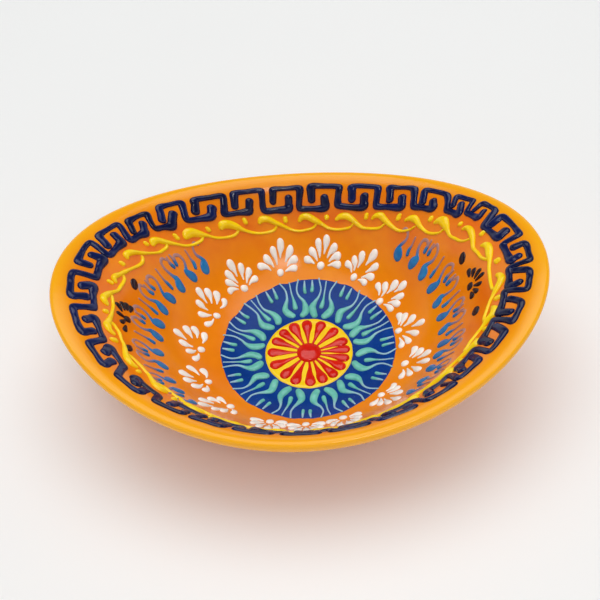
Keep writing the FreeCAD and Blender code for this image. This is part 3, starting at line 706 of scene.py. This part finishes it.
def blue_strokes(side):
    """Curls in mirrored pairs at one end, with a dart inside each and two marks between."""
    heads = BLUE_HEADS[side]
    strokes = []
    curl = [(-0.2, 0.0, 1.40), (0.4, 0.3, 1.45), (1.5, 0.8, 0.95), (2.6, 0.5, 0.56),
            (4.0, -0.3, 0.46), (5.5, -0.6, 0.45), (6.8, 0.1, 0.44), (7.2, 1.4, 0.42),
            (6.3, 2.2, 0.36)]
    dart = [(1.6, 0, 0.60), (2.7, 0, 0.58), (4.0, 0, 0.38), (6.6, 0, 0.32)]
    mark = [(4.4, 0, 0.66), (5.3, 0, 0.60), (6.9, 0, 0.32)]
    turn = -1 if side == "right" else 1

    def heading(point):
        return math.degrees(math.atan2(point[1] / BLUE_OVAL[1] ** 2,
                                       point[0] / BLUE_OVAL[0] ** 2))

    for k, head in enumerate(heads):
        hand = turn if k % 2 else -turn
        end = 0.82 if k < 2 or k > 9 else 1.0
        shape = [(out * end, hand * swing, half) for out, swing, half in curl]
        strokes.append(jitter(turned(shape, heading(head), head), 0.16))
        if k == len(heads) - 1:
            continue
        centre = between(head, heads[k + 1], 0.5)
        if k % 2 == 0:
            shape = [(out * end, swing, half) for out, swing, half in dart]
            strokes.append(jitter(turned(shape, heading(centre), centre), 0.15))
        else:
            for offset in (-0.95, 0.95):
                shape = [(out, offset, half) for out, _, half in mark]
                strokes.append(jitter(turned(shape, heading(centre), centre), 0.22))
    return strokes


def black_strokes(side):
    """The black fan at one end: its dot, seven drops and two drops beside it."""
    if side == "right":
        dot, tips = (56.0, 4.4), [(56.2, 10.0), (57.7, 8.9), (59.1, 7.1), (59.9, 4.9),
                                  (58.9, 2.2), (57.7, 0.4), (56.2, -0.2)]
        drops = [(54.5, 15.8), (56.7, -7.4)]
    else:
        dot, tips = (-56.8, -4.0), [(-56.3, 1.7), (-57.5, 1.6), (-58.6, 0.9), (-59.8, -0.6),
                                    (-59.2, -3.8), (-58.1, -6.9), (-57.0, -9.5)]
        drops = [(-55.7, 11.2), (-55.2, -17.4)]
    strokes = [[(dot[0], dot[1] - 0.3, 0.95), (dot[0], dot[1] + 0.4, 0.9)]]
    for x, y in tips:
        reach = math.hypot(x - dot[0], y - dot[1])
        ux, uy = (x - dot[0]) / reach, (y - dot[1]) / reach
        strokes.append([(x - ux * 1.9, y - uy * 1.9, 0.34), (x - ux * 0.7, y - uy * 0.7, 0.66),
                        (x, y, 0.74)])
    for x, y in drops:
        strokes.append([(x, y - 1.0, 0.80), (x, y, 1.12), (x + 0.1, y + 1.0, 0.80)])
    return strokes


# ---------------------------------------------------------------- build
def build():
    """Every painted layer, from the clay outward."""
    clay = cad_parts["clay_body"]
    clay.data.materials.clear()
    clay.data.materials.append(clay_material())

    glaze_coat(glaze_material())
    cobalt = enamel("cobalt_look", (0.001, 0.027, 0.190), (0.003, 0.056, 0.320), 0.22,
                    scale=160.0, coat=0.0, gloss=0.12)
    cobalt_wash(cobalt)
    yellow = enamel("sun_yellow_look", (0.92, 0.58, 0.001), (0.99, 0.74, 0.002), 0.22,
                    scale=220.0)
    sun_disc(yellow)
    red = enamel("red_look", (0.56, 0.005, 0.001), (0.74, 0.014, 0.002), 0.14)
    petals = []
    for angle in PETALS:
        shape = [(3.6, 0, 0.34), (6.4, 0, 0.58), (9.2, 0, 1.12), (11.4, 0, 1.72),
                 (12.5, 0, 1.84)]
        petals.append(jitter(turned(shape, angle, SUN), 0.09))
    top = FLOOR_Z + SUN_RISE
    trailed("petal_drops", petals, 0.85, 0.14, red, ["red_petals"], level=top,
            hand=0.04)
    boss = [[(SUN[0] - 0.1, SUN[1], 4.1), (SUN[0] + 0.15, SUN[1], 4.05)]]
    trailed("centre_boss", boss, 1.45, 0.14, red, ["red_boss"], level=top,
            hand=0.05, flatness=2.0)

    turquoise = enamel("turquoise_look", (0.100, 0.460, 0.390), (0.180, 0.620, 0.520), 0.18,
                       tail=(0.36, 0.66, (0.33, 0.58, 0.70)))
    large, darts, marks = medallion_strokes()
    trailed("turquoise_curls", large, 0.75, 0.13, turquoise,
            ["turquoise_pairs"], lift=GROUND_RISE, hand=0.08)
    trailed("turquoise_dart_drops", darts, 0.6, 0.12, turquoise,
            ["turquoise_darts"], lift=GROUND_RISE, hand=0.08)
    trailed("turquoise_rim_marks", marks, 0.5, 0.12, turquoise,
            ["turquoise_edge_strokes"], lift=GROUND_RISE, hand=0.08)

    navy = enamel("navy_look", (0.001, 0.002, 0.022), (0.002, 0.010, 0.090), 0.16, scale=350.0)
    trailed("key_line", key_strokes(), 1.0, 0.19, navy, ["greek_key"],
            place=band_place(*KEY_BAND, [unit[0] for unit in KEY_UNITS]), flatness=2.6,
            hand=0.10)
    slip = enamel("yellow_slip_look", (0.92, 0.58, 0.002), (0.98, 0.72, 0.004), 0.17)
    waves, dots = wave_strokes()
    place = band_place(*SCROLL_BAND, [wave[0] for wave in WAVES])
    trailed("wave_line", waves, 1.15, 0.14, slip, ["yellow_scroll"], place=place,
            flatness=2.0)
    trailed("wave_dots", dots, 0.8, 0.13, slip, ["yellow_dots"], place=place,
            flatness=2.0)

    white = enamel("white_look", (0.90, 0.86, 0.78), (0.97, 0.96, 0.92), 0.2)
    drops, dots = fan_strokes()
    trailed("fan_drops", drops, 0.6, 0.14, white, ["white_drops"])
    trailed("fan_dots", dots, 0.65, 0.14, white, ["white_dots"])

    blue = enamel("blue_look", (0.008, 0.130, 0.400), (0.018, 0.220, 0.520), 0.18,
                  tail=(0.30, 0.62, (0.42, 0.22, 0.20)))
    black = enamel("black_look", (0.006, 0.001, 0.004), (0.020, 0.003, 0.010), 0.2)
    for side in ("right", "left"):
        trailed("blue_curls_" + side, blue_strokes(side), 0.6, 0.14, blue,
                ["blue_strokes_" + side])
        trailed("black_drops_" + side, black_strokes(side), 0.6, 0.13, black,
                ["black_fan_" + side])


# ---------------------------------------------------------------- floor, light, camera
FLOOR_HALF = 3.0                # metres, from here on
LAMP_AIM = (0, 0, 0.02)
SKY_LOW = (0.92, 0.93, 0.92, 1)
SKY_HIGH = (0.12, 0.12, 0.12, 1)
CAMERA_PLACE = (0.016669, -0.283591, 0.374359)
CAMERA_ANGLES = (39.9158, 3.3264, -0.5969)
CAMERA_LENS = 80.84


def stage():
    """Plain pale floor."""
    mesh = bpy.data.meshes.new("floor")
    corners = [(x * FLOOR_HALF, y * FLOOR_HALF, 0) for x, y in ((-1, -1), (1, -1), (1, 1), (-1, 1))]
    mesh.from_pydata(corners, [], [(0, 1, 2, 3)])
    floor = bpy.data.objects.new("floor", mesh)
    bpy.context.scene.collection.objects.link(floor)
    m = Nodes("floor_look")
    m.set(Base_Color=m.ramp(m.noise(6.0, 2.0), [(0.0, (0.86, 0.865, 0.86)),
                                                (1.0, (0.89, 0.895, 0.89))]), Roughness=0.6)
    mesh.materials.append(m.material)


def area_light(name, place, size, power):
    """Rectangular lamp that looks at the middle of the bowl."""
    data = bpy.data.lights.new(name, "AREA")
    data.shape = "RECTANGLE"
    data.size, data.size_y = size
    data.energy = power
    lamp = bpy.data.objects.new(name, data)
    bpy.context.scene.collection.objects.link(lamp)
    lamp.location = place
    lamp.rotation_mode = "QUATERNION"
    lamp.rotation_quaternion = (Vector(LAMP_AIM) - Vector(place)).to_track_quat("-Z", "Y")


def sky():
    """Pale round the horizon and dark overhead, so that the glaze keeps its colour."""
    world = bpy.data.worlds.new("studio")
    world.use_nodes = True
    background = world.node_tree.nodes["Background"]
    background.inputs[1].default_value = 1.0
    tree = world.node_tree
    direction = tree.nodes.new("ShaderNodeTexCoord")
    split = tree.nodes.new("ShaderNodeSeparateXYZ")
    fade = tree.nodes.new("ShaderNodeValToRGB")
    tree.links.new(direction.outputs["Generated"], split.inputs[0])
    tree.links.new(split.outputs[2], fade.inputs[0])
    tree.links.new(fade.outputs[0], background.inputs[0])
    fade.color_ramp.elements[0].position = 0.25
    fade.color_ramp.elements[0].color = SKY_LOW
    fade.color_ramp.elements[1].position = 0.55
    fade.color_ramp.elements[1].color = SKY_HIGH
    bpy.context.scene.world = world


def lamps():
    """A wide lamp above, a small one in front, and a broad even light from overhead."""
    area_light("top_softbox", (-0.02, 0.22, 0.95), (1.0, 0.8), 3.6)
    area_light("front_lamp", (0.12, -0.55, 0.72), (0.20, 0.20), 1.2)
    ceiling = bpy.data.lights.new("ceiling", "SUN")
    ceiling.energy = 1.15
    ceiling.angle = math.radians(66)
    lamp = bpy.data.objects.new("ceiling", ceiling)
    lamp.location = (0, 0, 1.5)
    bpy.context.scene.collection.objects.link(lamp)


def camera_view():
    """One camera, above the front of the bowl."""
    data = bpy.data.cameras.new("camera")
    data.lens = CAMERA_LENS
    data.sensor_width = 36.0
    data.clip_start = 0.01
    camera = bpy.data.objects.new("camera", data)
    camera.location = CAMERA_PLACE
    camera.rotation_euler = [math.radians(angle) for angle in CAMERA_ANGLES]
    bpy.context.scene.collection.objects.link(camera)
    bpy.context.scene.camera = camera
    bpy.context.scene.view_settings.view_transform = "Standard"


build()
stage()
sky()
lamps()
camera_view()
